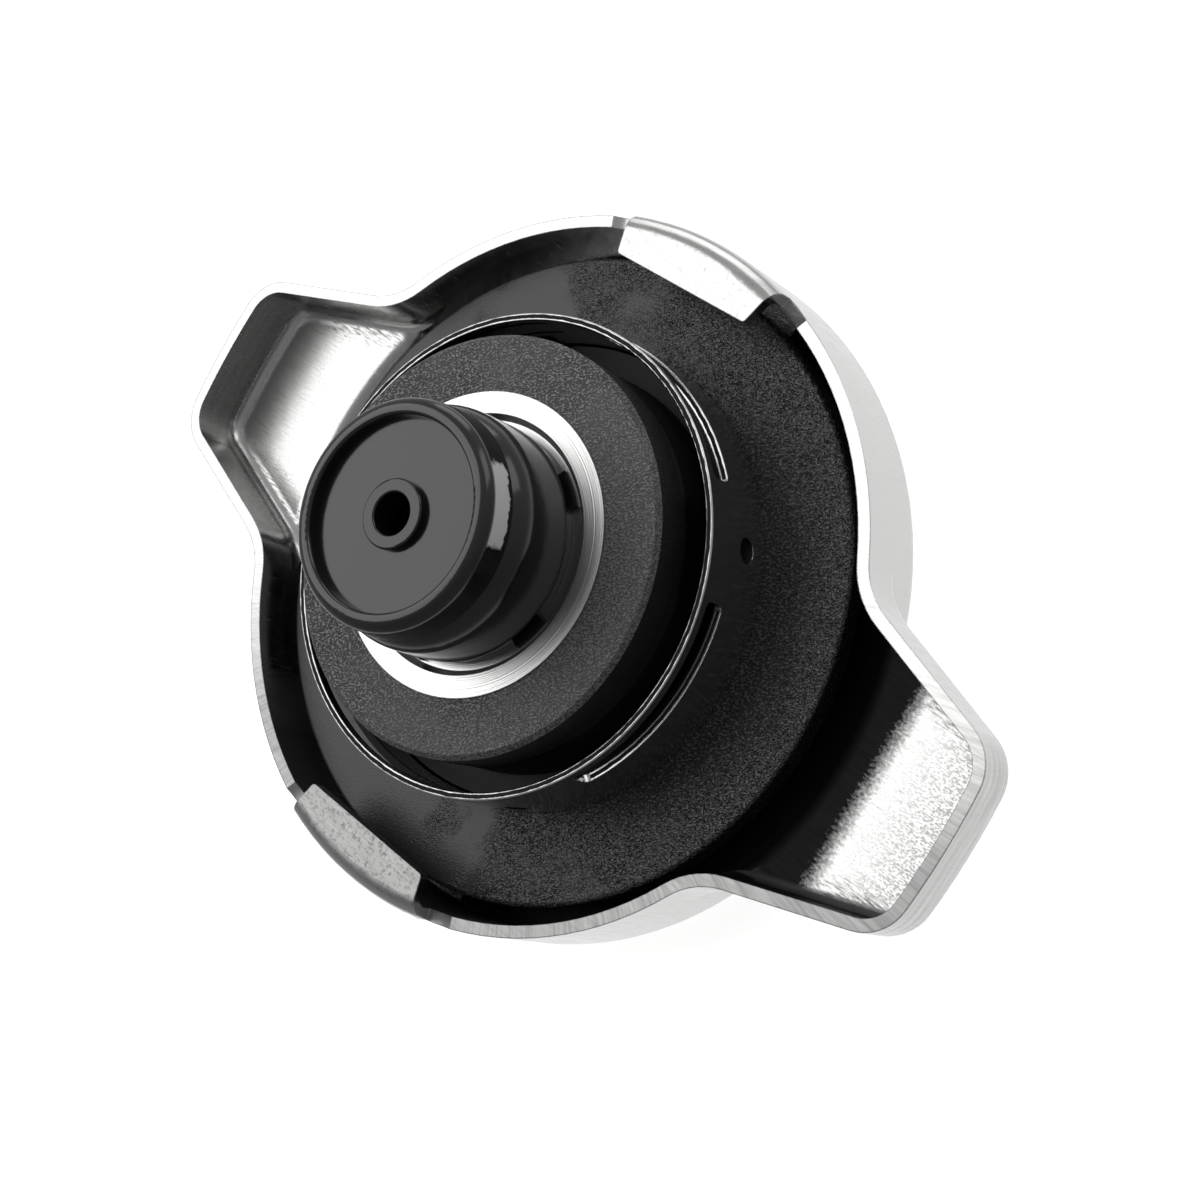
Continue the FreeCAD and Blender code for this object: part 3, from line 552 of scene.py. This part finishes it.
def coil(name, mean, wire, turns, bottom, top, material):
    """A compression spring with its end wires ground flat."""
    around = 48
    sides = 20
    steps = int(turns * around)
    low = bottom + wire * END_RISE
    high = top - wire * END_RISE
    points = []
    for i in range(steps + 1):
        share = i / steps
        turn = 2 * math.pi * turns * share
        out = Vector((math.cos(turn), math.sin(turn), 0))
        centre = out * mean + Vector((0, 0, low + (high - low) * share))
        for k in range(sides):
            angle = 2 * math.pi * k / sides
            point = centre + out * (wire / 2 * math.cos(angle)) + Vector((0, 0, wire / 2 * math.sin(angle)))
            point.z = min(max(point.z, bottom), top)
            points.append(point * MM)
    faces = [
        (i * sides + k, i * sides + (k + 1) % sides, (i + 1) * sides + (k + 1) % sides, (i + 1) * sides + k)
        for i in range(steps) for k in range(sides)
    ]
    faces.append(tuple(range(sides))[::-1])
    faces.append(tuple(steps * sides + k for k in range(sides)))
    mesh = bpy.data.meshes.new(name)
    mesh.from_pydata(points, [], faces)
    for face in mesh.polygons:
        face.use_smooth = len(face.vertices) == 4
    mesh.materials.append(material)
    made = bpy.data.objects.new(name, mesh)
    bpy.context.scene.collection.objects.link(made)
    return made


def spring_of(node, name, mean, wire, turns, material):
    """A spring that stands for a CAD node, parented to its body."""
    low, high = (corner.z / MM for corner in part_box(node))
    spring = coil(name, mean, wire, turns, low, high, material)
    body = next(b for b, nodes in frame["record"]["behaviour"]["bodies"].items() if node in nodes)
    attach(spring, body)
    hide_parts(node)
    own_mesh(spring)


def softbox(name, towards, distance, width, height, radiance):
    """A soft lamp of a known radiance that faces the origin from a direction."""
    lamp = bpy.data.lights.new(name, "AREA")
    lamp.shape = "RECTANGLE"
    lamp.size = width
    lamp.size_y = height
    lamp.energy = radiance * math.pi * width * height
    made = bpy.data.objects.new(name, lamp)
    bpy.context.scene.collection.objects.link(made)
    way = Vector(towards).normalized()
    made.location = way * distance
    made.rotation_mode = "QUATERNION"
    made.rotation_quaternion = way.to_track_quat("Z", "Y")
    made.visible_camera = False


def studio_world():
    """Camera rays see plain white, and so do glossy and transmission rays to the backdrop behind the cap.

    In front of the cap is a dimmer room, dimmest on the side away from the lamps."""
    world = bpy.data.worlds.new("studio")
    bpy.context.scene.world = world
    world.use_nodes = True
    tree = world.node_tree
    tree.nodes.clear()
    direction = add(tree, "TexCoord").outputs["Generated"]
    height = add(tree, "SeparateXYZ", {"Vector": direction}).outputs["Z"]
    aside = add(tree, "VectorMath", {0: direction, 1: LIT_SIDE}, operation="DOT_PRODUCT").outputs["Value"]
    room = add(tree, "MapRange", {
        "Value": aside, "From Min": -0.6, "From Max": 0.6, "To Min": 0.2, "To Max": 0.44,
    }).outputs[0]
    across = add(tree, "VectorMath", {
        0: direction, 1: BRIGHT_WAY,
    }, operation="DOT_PRODUCT").outputs["Value"]
    backdrop = add(tree, "MapRange", {
        "Value": across, "From Min": -0.3, "From Max": 0.4, "To Min": 0.78, "To Max": 1.2,
    }).outputs[0]
    behind = add(tree, "MapRange", {
        "Value": height, "From Min": 0.3, "From Max": 0.75,
    }, interpolation_type="SMOOTHSTEP").outputs[0]
    level = add(tree, "Mix", {"Factor": behind, "A": room, "B": backdrop}).outputs["Result"]
    # metal and glass show the white behind the cap as well
    path = add(tree, "LightPath")
    mirrored = add(tree, "Math", {
        0: path.outputs["Is Glossy Ray"], 1: path.outputs["Is Transmission Ray"],
    }, operation="MAXIMUM").outputs[0]
    shown = add(tree, "Math", {0: mirrored, 1: behind}, operation="MULTIPLY").outputs[0]
    seen = add(tree, "Math", {0: path.outputs["Is Camera Ray"], 1: shown}, operation="MAXIMUM").outputs[0]
    strength = add(tree, "Mix", {"Factor": seen, "A": level, "B": 1.0}).outputs["Result"]
    light = add(tree, "Background", {"Color": linear("#ffffff"), "Strength": strength})
    add(tree, "OutputWorld", {"Surface": light.outputs[0]})


def pale_floor():
    """The surface that the dome lies on. It shows from the valve's side only and keeps a soft shadow."""
    size = 2.0
    corners = [(-size, -size, 0), (-size, size, 0), (size, size, 0), (size, -size, 0)]
    mesh = bpy.data.meshes.new("floor")
    mesh.from_pydata(corners, [], [(0, 1, 2, 3)])
    floor = bpy.data.objects.new("floor", mesh)
    bpy.context.scene.collection.objects.link(floor)
    floor.location.z = cad_box[1].z + 0.2 * MM
    floor.visible_diffuse = False
    floor.visible_glossy = False
    floor.visible_transmission = False
    floor.visible_shadow = False
    made, tree = new_material("white_paper")
    paper = add(tree, "BsdfDiffuse", {"Color": linear("#f4f4f2")}).outputs[0]
    glow = add(tree, "Emission", {"Color": linear("#ffffff"), "Strength": 0.75}).outputs[0]
    lit = add(tree, "AddShader", {0: paper, 1: glow}).outputs[0]
    clear = add(tree, "BsdfTransparent").outputs[0]
    behind = add(tree, "NewGeometry").outputs["Backfacing"]
    shader = add(tree, "MixShader", {0: behind, 1: lit, 2: clear})
    add(tree, "OutputMaterial", {"Surface": shader.outputs[0]})
    mesh.materials.append(made)


def camera():
    """The scene's camera, at the photograph's place and angle."""
    made = bpy.data.objects.new("camera", bpy.data.cameras.new("camera"))
    bpy.context.scene.collection.objects.link(made)
    right = LOOKS.cross(HEAD).normalized()
    up = right.cross(LOOKS).normalized()
    made.matrix_world = Matrix((
        (right.x, up.x, -LOOKS.x, EYE.x),
        (right.y, up.y, -LOOKS.y, EYE.y),
        (right.z, up.z, -LOOKS.z, EYE.z),
        (0, 0, 0, 1),
    ))
    made.data.lens = LENS
    made.data.sensor_width = SENSOR
    made.data.clip_start = 0.005
    made.data.clip_end = 10
    bpy.context.scene.camera = made


steel = tinned_steel()
wire = spring_wire()
nylon = glossy_nylon()
black_steel = phosphated_steel()
dress(steel, "cap_shell", "centre_rivet", "backing_plate", "rivet_washer")
dress(wire, "disc_spring")
dress(drawn_stainless(), "bell_housing")
dress(black_steel, "valve_plate")
dress(polished_stainless(), "seal_washer")
gasket_rubber = grained_rubber(
    "grained_nitrile_gasket", creases="#08080a", crowns="#454647", smooth=0.6, grain=0.22, depth=0.22,
    rough=0.36, least=0.1, lean=(0.015, -0.007, 0.0),
)
dress(gasket_rubber, "upper_gasket")
seal_rubber = grained_rubber(
    "moulded_nitrile_seal", creases="#0d0d0e", crowns="#7d7e80", smooth=0.36, grain=0.18, depth=0.14,
    rough=0.40, least=0.5, lean=(-0.012, 0.003, 0.0),
)
dress(seal_rubber, "valve_seal", "vacuum_seal")
dress(nylon, "stem_body", "stem_nose", "vacuum_poppet")

spring_of(
    "main_spring", "main_coil", MAIN_MEAN, MAIN_WIRE, MAIN_TURNS,
    material=wire,
)
spring_of(
    "vacuum_spring", "vacuum_coil", VACUUM_MEAN, VACUUM_WIRE, VACUUM_TURNS,
    material=black_steel,
)

studio_world()
pale_floor()
camera()
softbox("key", (-0.585, 0.06, -0.81), distance=0.40, width=0.36, height=0.36, radiance=1.62)
softbox("side", (0.2, -0.9, -0.35), distance=0.45, width=0.20, height=0.30, radiance=1.2)
softbox("rim", (-0.55, -0.81, -0.10), distance=0.45, width=0.24, height=0.24, radiance=1.3)

bpy.context.scene.view_settings.view_transform = "Standard"
